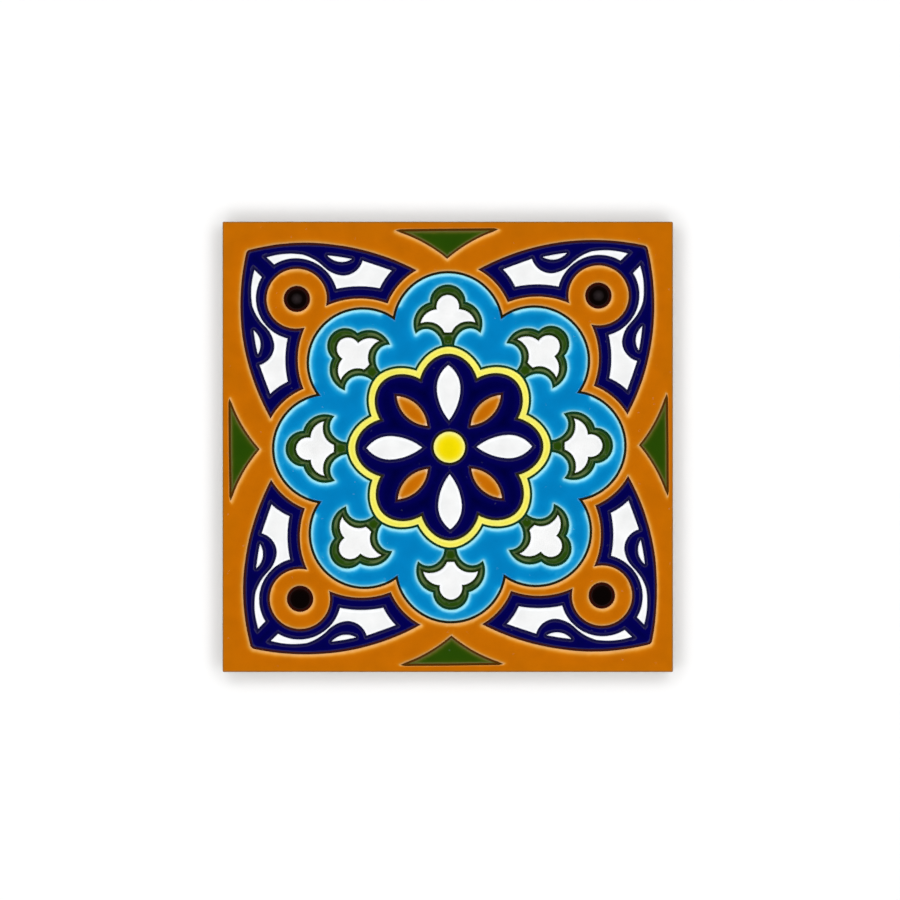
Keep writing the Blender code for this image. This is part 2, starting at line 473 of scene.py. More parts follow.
def segments_in_wedge(outline):
    points = [snapped(p) for p in outline]
    pairs = [(points[i - 1], points[i]) for i in range(len(points))]
    return [
        (a, b) for a, b in pairs
        if math.dist(a, b) > SHORTEST_SEGMENT
        and in_wedge((a[0] + b[0]) / 2, (a[1] + b[1]) / 2)
        and in_wedge(*a, SLACK) and in_wedge(*b, SLACK)
    ]


def inside(outline, points):
    """Which of the points lie inside a closed outline."""
    ends = np.array(outline)
    starts = np.roll(ends, 1, axis=0)
    x, y = points[:, 0], points[:, 1]
    found = np.zeros(len(points), bool)
    for (x0, y0), (x1, y1) in zip(starts, ends):
        if y0 == y1:
            continue
        crosses = (y0 > y) != (y1 > y)
        found ^= crosses & (x < (x1 - x0) * (y - y0) / (y1 - y0) + x0)
    return found


def distances(points, segments):
    """Each point's distance to the nearest segment."""
    starts = np.array([a for a, b in segments])
    along = np.array([b for a, b in segments]) - starts
    squares = (along ** 2).sum(1)
    nearest = []
    for chunk in np.array_split(points, max(1, len(points) // POINTS_AT_ONCE)):
        reach = chunk[:, None, :] - starts[None]
        share = np.clip((reach * along).sum(2) / squares, 0, 1)
        gap = reach - share[..., None] * along
        nearest.append(np.sqrt((gap ** 2).sum(2)).min(1))
    return np.concatenate(nearest)


def from_rim(points):
    """Each point's distance inwards from the tile's own outline."""
    q = np.abs(points) - FLAT_END
    beyond = np.hypot(*np.maximum(q, 0).T)
    return CORNER_ROUND - beyond - np.minimum(q.max(1), 0)


def rim_path():
    """The tile's outline within the wedge, from the Y axis to the diagonal."""
    def on_round(angle):
        return (
            FLAT_END + CORNER_ROUND * math.sin(angle), FLAT_END + CORNER_ROUND * math.cos(angle)
        )

    round_corner = (on_round(math.pi / 8), on_round(math.pi / 4))
    return [snapped(p) for p in path((0.0, SIDE / 2), ((FLAT_END, SIDE / 2),), round_corner)]


class Scatter:
    """Points kept one distance apart within a row, and another from those of other rows."""

    # The bins' width, which no distance that is kept goes over.
    CELL = 2.2

    def __init__(self):
        self.points = []
        self.bins = {}

    def add(self, point, row=0.0, apart=SAME_PLACE, from_others=SAME_PLACE):
        x, y = point
        column, line = int(x // self.CELL), int(y // self.CELL)
        for i in range(column - 1, column + 2):
            for j in range(line - 1, line + 2):
                for other, its_row in self.bins.get((i, j), ()):
                    if math.dist(other, point) < (apart if its_row == row else from_others):
                        return
        self.points.append(point)
        self.bins.setdefault((column, line), []).append((point, row))


def row_spacing(depth):
    start, growth, most = ROW_SPACING
    return min(start + growth * depth, most)


def row_points(outline, side, depth):
    """Candidate points at a depth from the outline, on the glaze's side of it."""
    apart = row_spacing(depth)
    for corner, before, after, turn in normals_at(outline):
        bend = before.angle(after, 0.0)
        if side * turn > 0 and bend > STRAIGHT:
            steps = max(1, math.ceil(bend * depth / apart))
            for i in range(steps + 1):
                yield tuple(corner + side * depth * before.slerp(after, i / steps))
        else:
            yield tuple(corner + side * depth * (before + after) / (1 + before.dot(after)))


def on_mirror_line(point, reach):
    """The point moved onto a mirror line that is nearer than reach."""
    x, y = point
    if abs(x) < reach:
        return (0.0, y)
    if abs(x - y) < reach * math.sqrt(2):
        return ((x + y) / 2, (x + y) / 2)
    return point


def fill_cells(scatter, shapes, edges):
    """Rows of points that follow the edges of the cells."""
    for shallower, depth in zip((0.0,) + CELL_ROWS, CELL_ROWS):
        reach = row_spacing(depth) / 3
        found = [
            on_mirror_line(point, reach)
            for colour, shape in shapes
            for side, outlines in ((1, shape[:1]), (-1, shape[1:]))
            for outline in outlines
            for point in row_points(outline, side, depth)
            if in_wedge(*point, reach)
        ]
        found = np.array([p for p in found if in_wedge(*p, TINY)])
        clear = distances(found, edges) > ROW_CLEARANCE * depth
        clear &= from_rim(found) > CELL_ROWS_END
        in_row = SHARE_IN_ROW * row_spacing(depth)
        between = SHARE_BETWEEN_ROWS * (depth - shallower)
        for point in found[clear]:
            scatter.add(tuple(point), depth, in_row, between)


def fill_rim(scatter, rim):
    """Rows of points that follow the tile's edge."""
    for shallower, depth in zip(RIM_ROWS, RIM_ROWS[1:]):
        between = SHARE_BETWEEN_ROWS * (depth - shallower)
        for x, y in rim:
            if x <= FLAT_END:
                point = (x, y - depth)
            elif depth < CORNER_ROUND:
                pull = 1 - depth / CORNER_ROUND
                point = (FLAT_END + (x - FLAT_END) * pull, FLAT_END + (y - FLAT_END) * pull)
            else:
                point = (SIDE / 2 - depth, SIDE / 2 - depth)
            if in_wedge(*point, TINY):
                scatter.add(on_mirror_line(point, RIM_SNAP), -depth, RIM_SPACING, between)


def fill_field(scatter, edges):
    """A grid of points over what the rows leave empty."""
    pitch, rise = FIELD_PITCH, FIELD_RISE
    from_cells, from_edge = FIELD_CLEARANCE
    apart, from_others = (share * pitch for share in FIELD_APART)
    for row in range(int(SIDE / 2 / pitch / rise) + 1):
        y = row * pitch * rise
        xs = np.arange(pitch * (0.5 if row % 2 else 0), y, pitch)
        found = np.array([on_mirror_line((x, y), pitch / 3) for x in xs] or [(0.0, 0.0)])
        clear = (distances(found, edges) > from_cells) & (from_rim(found) > from_edge)
        for point in found[clear]:
            scatter.add(tuple(point), "field", apart, from_others)


def triangulated(scatter, fixed, edges, rim):
    """The points and triangles of the wedge, with all edges and the wedge's outline kept."""
    points = scatter.points
    index = {p: i for i, p in enumerate(points)}

    def rounded(p):
        return tuple(round(c, LOOKED_UP_BY) for c in p)

    near = {rounded(p): index[p] for p in points[:fixed]}

    def number(p):
        return index.get(p, near.get(rounded(p)))

    middle = len(points)
    bounds = [(number(a), number(b)) for a, b in edges + list(zip(rim, rim[1:]))]
    bounds += [(middle, number(rim[0])), (middle, number(rim[-1]))]
    bounds = [(a, b) for a, b in bounds if a is not None and b is not None and a != b]
    vectors = [Vector(p) for p in points + [(0.0, 0.0)]]
    found = delaunay_2d_cdt(vectors, bounds, [], 1, SHORTEST_SEGMENT, False)
    return np.array([tuple(v) for v in found[0]]), np.array([f for f in found[2] if len(f) == 3])


def wedge_mesh():
    """One eighth of the face: its points and triangles, the points' depths and the triangles'
    glazes."""
    groups = ornament()
    shapes = [shape for group in groups.values() for shape in group]
    edges = [s for colour, shape in shapes for outline in shape for s in segments_in_wedge(outline)]
    rim = rim_path()
    scatter = Scatter()
    for point in [end for segment in edges for end in segment] + rim:
        scatter.add(point)
    fixed = len(scatter.points)
    fill_cells(scatter, shapes, edges)
    fill_rim(scatter, rim)
    fill_field(scatter, edges)
    places, triangles = triangulated(scatter, fixed, edges, rim)

    centres = places[triangles].mean(1)
    glaze = np.full(len(triangles), "orange", "U12")
    for name, outline in reversed(cells(groups)):
        glaze[inside(outline, centres)] = name
    for colour, shape in shapes:
        on_line = inside(shape[0], centres)
        for outline in shape[1:]:
            on_line &= ~inside(outline, centres)
        glaze[on_line] = colour
    depth = distances(places, edges)
    depth[depth < ON_EDGE] = 0.0
    return places, triangles, depth, glaze


def reflected(places, triangles, glaze, *values):
    """The eighth and its seven images, welded along the mirror lines."""
    parts, faces, count = [], [], len(places)
    for swap in (False, True):
        for sx in (1, -1):
            for sy in (1, -1):
                image = places[:, ::-1] if swap else places
                parts.append(image * (sx, sy))
                flipped = (sx * sy < 0) != swap
                faces.append((triangles[:, ::-1] if flipped else triangles) + count * len(faces))
    everything = np.concatenate(parts)
    _, first, index = np.unique(
        np.round(everything, WELDED_BY), axis=0, return_index=True, return_inverse=True
    )
    faces = index.reshape(-1)[np.concatenate(faces)]
    copies = len(parts)
    values = [np.tile(v, copies)[first] for v in values]
    return everything[first], faces, np.tile(glaze, copies), *values


def smooth_step(low, high, value):
    t = np.clip((value - low) / (high - low), 0, 1)
    return t * t * (3 - 2 * t)


def wave(x, y, size, seed):
    """Smooth noise from -1 to 1 with swells of about the given size."""
    return noise.noise(Vector((x / size, y / size, seed)))


def waves(places, sets):
    """How high sets of waves stand together at each place."""
    return np.array([sum(h * wave(x, y, size, seed) for h, size, seed in sets) for x, y in places])


def face_heights(places, depth):
    """The height of each point of the face."""
    t = np.clip(depth / SHOULDER_WIDTH, 0, 1)
    pillow = SHOULDER_HEIGHT * (1 - (1 - t) ** SHOULDER_POWER)
    pillow += CROWN_HEIGHT * (1 - np.exp(-depth / CROWN_REACH))
    pillow += waves(places, SWELLS) * smooth_step(*SWELLS_BEGIN, depth)
    height = LINE_LEVEL + np.minimum(pillow, THICKNESS - LINE_LEVEL)
    rim = np.clip(FACE_ROUND - from_rim(places), 0, FACE_ROUND)
    return height - (FACE_ROUND - np.sqrt(FACE_ROUND ** 2 - rim ** 2))


def set_by_hand(places):
    """The ornament's small turn, shift and stretch, and a slight unevenness of the hand."""
    x, y = places.T
    off_middle = np.maximum(np.abs(x), np.abs(y))
    off_axes = np.minimum(np.abs(x), np.abs(y))
    start = SET_WITHIN - EARLIER_IN_CORNERS * smooth_step(*CORNERS_BEGIN, off_axes)
    share = 1 - smooth_step(start, SIDE / 2, off_middle)
    back, begins, full = DRAWN_BACK
    right = PATTERN_SHIFT[0] - back * smooth_step(begins, full, np.abs(x))
    wide, tall = PATTERN_STRETCH
    c, s = math.cos(PATTERN_TURN), math.sin(PATTERN_TURN)
    moved = np.stack([
        wide * (c * x - s * y) + right, tall * (s * x + c * y) + PATTERN_SHIFT[1],
    ], axis=1)
    drift = np.stack([waves(places, DRIFT_ACROSS), waves(places, DRIFT_ALONG)], axis=1)
    return places + share[:, None] * (moved + drift - places)


def pooled(places, triangles, depth, glaze):
    """The depth that a glaze's colour goes by: it also pools in the medallion's cusps and
    runs deep along the tile's edge, so it shows no pale rim there. Along the inner side of
    a corner panel the orange deepens faster than elsewhere."""
    panel = [s for s in segments_in_wedge(around(corner_panel())[0]) if s[0][1] < PANEL_TIP_HEIGHT]
    by_panel = distances(places, panel) < depth + ALMOST_NEAREST
    cusp = np.array(medallion_cusp())
    by_cusp = 1 - smooth_step(*CUSP_POOL, np.hypot(*(places - cusp).T))
    by_edge = 1 - smooth_step(*EDGE_POOL, from_rim(places))
    seen = np.where(by_panel & (depth > 0), depth * PANEL_DEEPENING, depth)
    for name, share in (("blue", by_cusp), ("orange", by_edge)):
        own = np.unique(triangles[glaze == name])
        seen[own] += POOL_DEPTH * share[own]
    return seen


def thin_cover(places, triangles, depth, glaze):
    """How thin a glaze lies: 1 in the leaves' narrow arms and at the slim petals' tips, and 0
    in broad parts."""
    thin = np.zeros(len(places))
    for name, reach, narrow, full in THINNED:
        own = np.unique(triangles[glaze == name])
        spots, deep = places[own], depth[own]
        gaps = np.hypot(*(spots[:, None] - spots[None]).transpose(2, 0, 1))
        widest = np.where(gaps < reach, deep, 0.0).max(1)
        thinness = 1 - smooth_step(*narrow, widest)
        thinness = np.array([thinness[gap < THIN_BLUR].mean() for gap in gaps])
        thin[own] = np.maximum(thin[own], thinness * smooth_step(*full, deep))
    return thin


def facing_lit_side(places, triangles, depth):
    """Which way each point's nearest rim faces, for the painted light: 1 to the lit side and -1
    away from it.
    """
    first, second, third = (places[triangles[:, i]] for i in range(3))
    along, across = second - first, third - first
    rise, climb = (depth[triangles[:, i]] - depth[triangles[:, 0]] for i in (1, 2))
    area = along[:, 0] * across[:, 1] - along[:, 1] * across[:, 0]
    uphill = np.stack([
        rise * across[:, 1] - climb * along[:, 1], climb * along[:, 0] - rise * across[:, 0],
    ], axis=1) / area[:, None]
    weight = np.abs(area) * (depth[triangles].max(1) > 0)
    total, weights = np.zeros(len(places)), np.full(len(places), TINY)
    for i in range(3):
        np.add.at(total, triangles[:, i], -weight * (uphill @ LIT_SIDE))
        np.add.at(weights, triangles[:, i], weight)
    return total / weights


def boss_painted_highlights(places):
    """How far each point belongs to the painted highlight on the crown of one of the two upper
    bosses.
    """
    off_middle = np.hypot(np.abs(places[:, 0]) - BOSS[0], places[:, 1] - BOSS[1])
    return 1 - smooth_step(*BOSS_HIGHLIGHT_SPOT, off_middle)


def srgb(r, g, b):
    """The surface colour that looks like this one, from 0 to 255, in the scene's light."""
    def linear(c):
        c /= 255
        return (c / 12.92 if c <= 0.04045 else ((c + 0.055) / 1.055) ** 2.4) / LIGHT
    return (linear(r), linear(g), linear(b), 1.0)


def fill_ramp(ramp, stops):
    """Give a colour ramp these stops, each a place from 0 to 1 and a colour."""
    while len(ramp.elements) < len(stops):
        ramp.elements.new(0.5)
    for element, (place, colour) in zip(ramp.elements, stops):
        element.position = place
        element.color = colour


class Nodes:
    """A material's node tree, with its nodes made and wired in short calls."""

    def __init__(self, name):
        self.material = bpy.data.materials.new(name)
        self.material.use_nodes = True
        self.tree = self.material.node_tree
        self.shader = self.tree.nodes["Principled BSDF"]

    def add(self, kind, inputs=(), **settings):
        node = self.tree.nodes.new(kind)
        for key, value in settings.items():
            setattr(node, key, value)
        for key, value in dict(inputs).items():
            if isinstance(value, bpy.types.NodeSocket):
                self.tree.links.new(value, node.inputs[key])
            else:
                node.inputs[key].default_value = value
        return node

    def noise(self, size, detail):
        """Noise whose swells are about size millimetres across."""
        coords = self.add("ShaderNodeTexCoord").outputs["Object"]
        made = self.add(
            "ShaderNodeTexNoise", {"Vector": coords, "Scale": 1 / (size * MM), "Detail": detail}
        )
        return made.outputs["Fac"]

    def wander(self, size, detail, low, high):
        """A value that wanders from low to high with such noise."""
        return self.spread(self.noise(size, detail), *NOISE_SPAN, low, high)

    def total(self, a, b):
        return self.add("ShaderNodeMath", {0: a, 1: b}, operation="ADD").outputs[0]

    def spread(self, value, low, high, to_low=0.0, to_high=1.0):
        made = self.add("ShaderNodeMapRange", {
            "Value": value, "From Min": low, "From Max": high, "To Min": to_low, "To Max": to_high,
        })
        return made.outputs["Result"]

    def mix(self, share, a, b, blend="MIX"):
        made = self.add("ShaderNodeMix", data_type="RGBA", blend_type=blend)
        sockets = [s for s in made.inputs if s.enabled]
        for socket, value in zip(sockets, (share, a, b)):
            if isinstance(value, bpy.types.NodeSocket):
                self.tree.links.new(value, socket)
            else:
                socket.default_value = value
        return [s for s in made.outputs if s.enabled][0]

    def times(self, colour, factor):
        """The colour made darker or lighter."""
        grey = self.add("ShaderNodeCombineColor", {0: factor, 1: factor, 2: factor}).outputs[0]
        return self.mix(1.0, colour, grey, "MULTIPLY")

    def ramp(self, value, stops):
        made = self.add("ShaderNodeValToRGB", {"Fac": value})
        fill_ramp(made.color_ramp, stops)
        return made.outputs["Color"]

    def pinholes(self):
        """1 on smooth glaze and 0 in the middle of a small dent, here and there."""
        coords = self.add("ShaderNodeTexCoord").outputs["Object"]
        cells = self.add(
            "ShaderNodeTexVoronoi", {"Vector": coords, "Scale": 1 / (PINHOLE_PITCH * MM)},
            voronoi_dimensions="2D",
        )
        chance = self.add("ShaderNodeSeparateColor", {0: cells.outputs["Color"]}).outputs[0]
        dent = self.spread(cells.outputs["Distance"], *PINHOLE_WIDTH)
        return self.add(
            "ShaderNodeMath", {0: dent, 1: self.spread(chance, *PINHOLE_CHANCE)},
            operation="MAXIMUM",
        ).outputs[0]

    def attribute(self, name):
        return self.add("ShaderNodeAttribute", attribute_name=name).outputs["Fac"]

    def set(self, **inputs):
        for key, value in inputs.items():
            socket = self.shader.inputs[key.replace("_", " ")]
            if isinstance(value, bpy.types.NodeSocket):
                self.tree.links.new(value, socket)
            else:
                socket.default_value = value

    def bump(self, height, distance, strength=1.0):
        made = self.add("ShaderNodeBump", {
            "Height": height, "Distance": distance * MM, "Strength": strength,
        })
        return made.outputs["Normal"]


# The light on a level surface, where 1 makes a white one just white.
LIGHT = 1.03

# Each glaze's colours by its depth, up to DEEPEST: how far in from the cell's rim it lies.
DEEPEST = 8.0
GLAZES = {
    "orange": (
        (0.0, (218, 160, 98)), (0.35, (219, 159, 88)), (0.7, (216, 147, 62)),
        (1.05, (207, 130, 32)), (1.5, (202, 117, 12)), (2.2, (198, 108, 3)),
        (3.5, (195, 105, 1)), (8.0, (193, 105, 1)),
    ),
    "blue": (
        (0.0, (126, 198, 208)), (0.3, (148, 214, 229)), (0.6, (132, 210, 236)),
        (0.95, (86, 183, 224)), (1.4, (44, 158, 210)), (1.8, (22, 148, 206)),
        (2.4, (7, 141, 202)), (3.2, (2, 131, 195)), (5.0, (1, 127, 191)),
    ),
    "yellow_ring": (
        (0.0, (226, 220, 112)), (0.35, (246, 240, 118)), (0.6, (250, 244, 116)),
        (1.0, (243, 234, 90)), (1.6, (238, 228, 76)),
    ),
    "yellow_dot": (
        (0.0, (246, 238, 150)), (0.7, (250, 244, 115)), (1.3, (244, 231, 73)),
        (2.1, (245, 225, 36)), (3.0, (245, 222, 8)), (5.0, (240, 218, 1)),
    ),
    "navy": (
        (0.0, (30, 22, 76)), (0.3, (14, 8, 79)), (0.7, (3, 1, 78)), (1.2, (3, 1, 81)),
        (1.8, (2, 1, 77)), (2.6, (1, 1, 72)), (3.4, (0, 0, 66)), (4.4, (0, 0, 58)),
    ),
    "green": (
        (0.0, (36, 66, 16)), (0.4, (42, 72, 16)), (0.9, (38, 72, 8)), (1.6, (39, 69, 4)),
        (5.0, (36, 70, 2)),
    ),
    "green_side": (
        (0.0, (88, 82, 22)), (0.45, (88, 91, 30)), (0.8, (68, 83, 16)), (1.2, (50, 76, 7)),
        (1.8, (42, 72, 4)), (3.0, (38, 71, 4)), (6.0, (36, 71, 3)),
    ),
    "black": ((0.0, (30, 6, 4)), (0.5, (20, 5, 4)), (1.1, (11, 4, 3)), (2.2, (8, 4, 3))),
    "white": (
        (0.0, (230, 232, 238)), (0.3, (248, 250, 254)), (0.6, (254, 255, 255)),
        (0.95, (248, 249, 252)), (1.3, (243, 244, 244)), (6.0, (243, 243, 243)),
    ),
}
GLAZES["orange_petal"] = GLAZES["orange"]

# The lines' tones.
LINES = {
    "line_black": (28, 25, 8), "line_navy": (14, 13, 54), "line_green": (7, 48, 25),
    "line_leaf": (22, 38, 5), "line_brown": (52, 18, 15), "line_ochre": (72, 40, 2),
    "line_boss": (45, 8, 1), "line_petal": (42, 14, 18), "line_ring": (34, 31, 17),
}

# The tones of glaze that lies thin, of orange that is worn off at the tile's edge, and of the
# painted highlight on the crowns of two bosses. How much each glaze mirrors: GLOSS, where nothing
# else is said.
THIN = {"green": (98, 116, 70), "orange_petal": (255, 226, 196)}
WORN_ORANGE = (150, 102, 36)
BOSS_PAINTED_HIGHLIGHT = (45, 38, 39)
GLOSS = 0.2
GLOSSES = {"black": 0.06, "navy": 0.12}

# The glazes whose rims carry painted light, brighter towards the lit side, how bright they are
# away from it and towards it, and the depths between which that fades out.
ONE_SIDE_LIT = ("orange", "blue")
PAINTED_RIM_LIGHT = (0.83, 1.18)
PAINTED_RIM_LIGHT_REACH = (0.6, 1.9)

# What varies over a surface: the size of its swells in millimetres, the noise's detail, and
# its lowest and highest value. Noise mostly stays within NOISE_SPAN.
NOISE_SPAN = (0.3, 0.7)
RAGGED_RIM = (3.0, 3.0, -0.12, 0.12)
RAGGED_RUN = (0.9, 3.0, -0.2, 0.2)
CLOUD = (9.0, 4.0, 0.94, 1.05)
GLAZE_ROUGHNESS = (2.2, 3.0, 0.09, 0.17)

# The relief that is only in the glaze's bump: faint ripples, and a net of cells with a pinhole
# in some. Its wall rises between two shares of the net's pitch. It is full deep where the
# cell's random value is under the first chance, and there is none over the second.
GLAZE_RELIEF = 0.1
RIPPLE = (1.8, 2.0)
RIPPLE_HEIGHT = 0.05
PINHOLE_PITCH = 7.0
PINHOLE_WIDTH = (0.01, 0.06)
PINHOLE_CHANCE = (0.05, 0.3)


def glaze_material(name, stops):
    """Glossy glaze: pale where it is drawn thin at a cell's rim, deep where it pools. Some glazes
    also carry painted light on their rims, and the black one a painted highlight on two bosses.
    """
    nodes = Nodes(name)
    depth = nodes.total(nodes.attribute("glaze_depth"), nodes.wander(*RAGGED_RIM))
    colour = nodes.ramp(
        nodes.spread(depth, 0.0, DEEPEST), [(d / DEEPEST, srgb(*c)) for d, c in stops]
    )
    gloss = GLOSSES.get(name, GLOSS)
    # Painted light: rims towards the top left are made brighter, the others darker.
    if name in ONE_SIDE_LIT:
        strength = nodes.spread(nodes.attribute("rim_facing_light"), -1.0, 1.0, *PAINTED_RIM_LIGHT)
        rim = nodes.spread(depth, *PAINTED_RIM_LIGHT_REACH, 1.0, 0.0)
        colour = nodes.mix(rim, colour, nodes.times(colour, strength))
    if name in THIN:
        colour = nodes.mix(nodes.attribute("thin_glaze"), colour, srgb(*THIN[name]))
    # Painted highlight on the crowns of the two upper bosses.
    if name == "black":
        colour = nodes.mix(nodes.attribute("boss_painted_highlight"), colour, srgb(*BOSS_PAINTED_HIGHLIGHT))
    if name == "orange":
        worn = nodes.attribute("worn_edge")
        colour = nodes.mix(worn, colour, srgb(*WORN_ORANGE))
        gloss = nodes.spread(worn, 0.0, 1.0, GLOSS, 0.0)
    ripple = nodes.spread(nodes.noise(*RIPPLE), 0.0, 1.0, 0.0, RIPPLE_HEIGHT)
    nodes.set(
        Base_Color=nodes.times(colour, nodes.wander(*CLOUD)),
        Roughness=nodes.wander(*GLAZE_ROUGHNESS),
        Normal=nodes.bump(nodes.total(nodes.pinholes(), ripple), GLAZE_RELIEF),
        Specular_IOR_Level=gloss,
    )
    return nodes.material


# The lines' grain, and how much lighter its flecks are, which show between two of its values.
LINE_GRAIN = (0.35, 4.0)
LINE_FLECK = 2.2
LINE_FLECKS_SHOW = (0.45, 0.75)
LINE_ROUGHNESS = (0.6, 0.85)
LINE_RELIEF = 0.03
LINE_GLOSS = 0.02


def line_material(name, colour):
    """The dull line of oxide and grease that kept the glazes apart."""
    nodes = Nodes(name)
    grain = nodes.noise(*LINE_GRAIN)
    fleck = tuple(min(1.0, c * LINE_FLECK) for c in srgb(*colour)[:3]) + (1.0,)
    nodes.set(
        Base_Color=nodes.mix(nodes.spread(grain, *LINE_FLECKS_SHOW), srgb(*colour), fleck),
        Roughness=nodes.spread(grain, *NOISE_SPAN, *LINE_ROUGHNESS),
        Normal=nodes.bump(grain, LINE_RELIEF),
        Specular_IOR_Level=LINE_GLOSS,
    )
    return nodes.material


# The clay: its tone, its darker blotches, its pale flecks and its pits, with the sizes of
# these, the values between which each one shows, and how much of it does at most.
CLAY = (148, 140, 130)
CLAY_BLOTCH = (131, 123, 113)
CLAY_FLECK = (172, 164, 153)
CLAY_PIT = (92, 83, 72)
BLOTCH = (22.0, 4.0)
BLOTCHES_SHOW = (0.35, 0.65)
CLAY_GRAIN = (0.6, 5.0)
FLECKS_SHOW = (0.45, 0.8)
FLECKS_MOST = 0.5
PIT_PITCH = 2.4
PITS_SHOW = (0.05, 0.16)
PITS_MOST = 0.5
CLAY_ROUGHNESS = 0.88
CLAY_RELIEF = 0.08

# The orange glaze on the sides: its tone at its foot, the values of "glaze_over_side" between
# which it begins and those over which it deepens, its roughness, and how much of the clay's
# relief is left to see under it.
RUN_TONE = (170, 96, 40)
RUN_BEGINS = (0.45, 0.55)
RUN_DEEPENS = (0.5, 1.0)
RUN_ROUGHNESS = 0.13
SIDE_RELIEF = 0.05
RELIEF_UNDER_RUN = 0.06


def clay_material(name):
    """Bare fired clay with the grain and small pits of the pressed body. On the tile's
    sides the border's glaze has run a little way down over it."""
    nodes = Nodes(name)
    grain = nodes.noise(*CLAY_GRAIN)
    blotch = nodes.spread(nodes.noise(*BLOTCH), *BLOTCHES_SHOW)
    pits = nodes.add("ShaderNodeTexVoronoi", {
        "Vector": nodes.add("ShaderNodeTexCoord").outputs["Object"], "Scale": 1 / (PIT_PITCH * MM),
    }).outputs["Distance"]
    pits = nodes.spread(pits, *PITS_SHOW)
    colour = nodes.mix(blotch, srgb(*CLAY), srgb(*CLAY_BLOTCH))
    flecks = nodes.spread(grain, *FLECKS_SHOW, 0.0, FLECKS_MOST)
    colour = nodes.mix(flecks, colour, srgb(*CLAY_FLECK))
    colour = nodes.mix(nodes.spread(pits, 0.0, 1.0, PITS_MOST, 0.0), colour, srgb(*CLAY_PIT))
    relief = nodes.total(grain, pits)
    if name == "clay":
        normal = nodes.bump(relief, CLAY_RELIEF)
        nodes.set(Base_Color=colour, Roughness=CLAY_ROUGHNESS, Normal=normal)
        return nodes.material
    over = nodes.total(nodes.attribute("glaze_over_side"), nodes.wander(*RAGGED_RUN))
    glazed = nodes.spread(over, *RUN_BEGINS)
    deepest_orange = GLAZES["orange"][-1][1]
    orange = nodes.mix(nodes.spread(over, *RUN_DEEPENS), srgb(*RUN_TONE), srgb(*deepest_orange))
    left = nodes.spread(glazed, 0.0, 1.0, 1.0, RELIEF_UNDER_RUN)
    nodes.set(
        Base_Color=nodes.mix(glazed, colour, orange),
        Roughness=nodes.spread(glazed, 0.0, 1.0, CLAY_ROUGHNESS, RUN_ROUGHNESS),
        Normal=nodes.bump(relief, SIDE_RELIEF, left),
    )
    return nodes.material


def ring_levels():
    """Heights and insets of the loops down the side, from the face's round to the back. None
    is an inset that goes by the glaze there."""
    top = THICKNESS - FACE_ROUND
    levels = [(z, None) for z in np.arange(top - SIDE_STEP, BACK_ARRIS + SIDE_STEP / 2, -SIDE_STEP)]
    return levels + [(BACK_ARRIS, SIDE_INSET), (0.0, BACK_ARRIS)]


def make_sides(rim, places, count):
    """The loops of points below the rim, the faces between them, with the back's last, and
    how much the glaze covers each point. New points are numbered from count on."""
    outward = places - np.clip(places, -FLAT_END, FLAT_END)
    outward /= np.linalg.norm(outward, axis=1)[:, None]
    run = RUN_FOOT + waves(places, RUN_WAVES)
    loops, faces, cover = [], [], []
    above = list(rim)
    for z, inset in ring_levels():
        over = smooth_step(*RUN_SOFTNESS, z - run)
        inset = SIDE_INSET * (1 - over) if inset is None else np.full(len(rim), inset)
        loop = places - outward * inset[:, None]
        loops.append(np.column_stack([loop, np.full(len(rim), z)]))
        cover.append(over)
        below = list(range(count, count + len(rim)))
        for i in range(len(rim)):
            j = (i + 1) % len(rim)
            faces.append((above[j], above[i], below[i], below[j]))
        above = below
        count += len(rim)
    faces.append(tuple(above[::-1]))
    return loops, faces, cover


def make_tile():
    """The whole tile as one closed mesh."""
    places, triangles, depth, glaze = wedge_mesh()
    thin = thin_cover(places, triangles, depth, glaze)
    seen = pooled(places, triangles, depth, glaze)
    places, triangles, glaze, depth, seen, thin = reflected(
        places, triangles, glaze, depth, seen, thin
    )
    # Painted light from the top left: the pale rims on that side are made wider, the others
    # narrower.
    facing_light = facing_lit_side(places, triangles, depth)
    seen -= LIT_SIDE_SHARE * facing_light * np.minimum(depth, LIT_SIDE_REACH)

    rim_gap = from_rim(places)
    rim = np.where(rim_gap < ON_RIM)[0]
    rim = rim[np.argsort(np.arctan2(places[rim, 1], places[rim, 0]))]
    loops, side_faces, cover = make_sides(rim, places[rim], len(places))
    face = np.column_stack([set_by_hand(places), face_heights(places, depth)])
    vertices = np.concatenate([face] + loops) * MM
    faces = [tuple(t) for t in triangles] + side_faces

    mesh = bpy.data.meshes.new("tile")
    mesh.from_pydata([tuple(map(float, v)) for v in vertices], [], faces)
    names = list(GLAZES) + list(LINES) + ["side", "clay"]
    for name in names:
        mesh.materials.append(material_of(name))
    parts = list(glaze) + ["side"] * (len(side_faces) - 1) + ["clay"]
    mesh.polygons.foreach_set("material_index", [names.index(part) for part in parts])
    on_sides = np.zeros(len(vertices) - len(places))
    # Among these: the painted light on the rims, and the painted highlight on the upper bosses.
    values = {
        "glaze_depth": np.concatenate([seen, on_sides]),
        "thin_glaze": np.concatenate([thin, on_sides]),
        "rim_facing_light": np.concatenate([facing_light, on_sides]),
        "worn_edge": np.concatenate([1 - smooth_step(*WORN_WITHIN, rim_gap), on_sides]),
        "boss_painted_highlight": np.concatenate([boss_painted_highlights(places), on_sides]),
        "glaze_over_side": np.concatenate([np.ones(len(places))] + cover),
    }
    for name, value in values.items():
        layer = mesh.attributes.new(name, "FLOAT", "POINT")
        layer.data.foreach_set("value", value.astype(np.float32))
    mesh.shade_smooth()
    mesh.set_sharp_from_angle(angle=SHARP_ANGLE)
    mesh.validate()
    tile = bpy.data.objects.new("tile", mesh)
    bpy.context.scene.collection.objects.link(tile)
    return tile


def material_of(name):
    if name in GLAZES:
        return glaze_material(name, GLAZES[name])
    if name in LINES:
        return line_material(name, LINES[name])
    return clay_material(name)


# The white floor, with its size in metres.
FLOOR_SIZE = 8.0
FLOOR_WHITE = 0.965
FLOOR_ROUGHNESS = 0.9


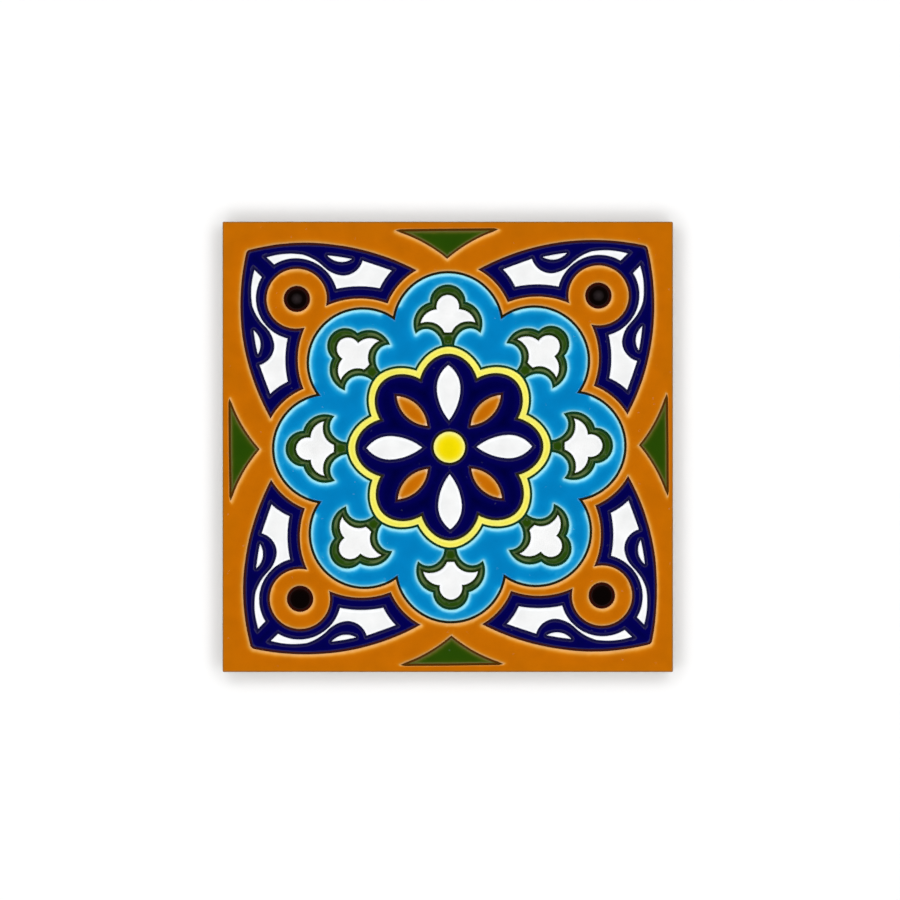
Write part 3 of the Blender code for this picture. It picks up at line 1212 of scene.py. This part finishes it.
def make_floor():
    mesh = bpy.data.meshes.new("floor")
    shape = bmesh.new()
    bmesh.ops.create_grid(shape, x_segments=2, y_segments=2, size=FLOOR_SIZE)
    shape.to_mesh(mesh)
    shape.free()
    floor = bpy.data.objects.new("floor", mesh)
    bpy.context.scene.collection.objects.link(floor)
    nodes = Nodes("floor")
    white = (FLOOR_WHITE, FLOOR_WHITE, FLOOR_WHITE, 1.0)
    nodes.set(Base_Color=white, Roughness=FLOOR_ROUGHNESS, Specular_IOR_Level=0.0)
    mesh.materials.append(nodes.material)
    return floor


# The band of light: how bright the sky is by its height, from 0 at the horizon to 1 overhead,
# and the strength of all of it.
SKY = ((0.60, 0.12), (0.70, 1.0), (0.86, 1.0), (0.90, 0.01))
SKY_STRENGTH = 2.64


def make_light():
    """A soft band of light all round, low enough that the flat face mirrors the dark above."""
    world = bpy.data.worlds.new("studio")
    bpy.context.scene.world = world
    world.use_nodes = True
    tree = world.node_tree
    coords = tree.nodes.new("ShaderNodeTexCoord")
    split = tree.nodes.new("ShaderNodeSeparateXYZ")
    ramp = tree.nodes.new("ShaderNodeValToRGB")
    background = tree.nodes["Background"]
    tree.links.new(coords.outputs["Generated"], split.inputs[0])
    tree.links.new(split.outputs["Z"], ramp.inputs["Fac"])
    tree.links.new(ramp.outputs["Color"], background.inputs["Color"])
    fill_ramp(ramp.color_ramp, [(place, (value, value, value, 1.0)) for place, value in SKY])
    background.inputs["Strength"].default_value = SKY_STRENGTH


# The picture is 900 pixels wide, and the tile's middle is at this place in it.
PICTURE = 900
TILE_WIDTH_PX = 450.5
TILE_CENTRE_PX = (447.75, 446.85)
LENS = 100.0
SENSOR = 36.0


def make_camera():
    camera = bpy.data.objects.new("camera", bpy.data.cameras.new("camera"))
    bpy.context.scene.collection.objects.link(camera)
    camera.data.lens = LENS
    camera.data.sensor_width = SENSOR
    span = SIDE * MM * PICTURE / TILE_WIDTH_PX
    per_pixel = span / PICTURE
    camera.location = (
        (PICTURE / 2 - TILE_CENTRE_PX[0]) * per_pixel,
        (TILE_CENTRE_PX[1] - PICTURE / 2) * per_pixel,
        THICKNESS * MM + span * LENS / SENSOR,
    )
    bpy.context.scene.camera = camera


make_camera()
tile = make_tile()
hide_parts(NODE)
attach(tile, "root")
make_floor()
make_light()
bpy.context.scene.view_settings.view_transform = "Standard"
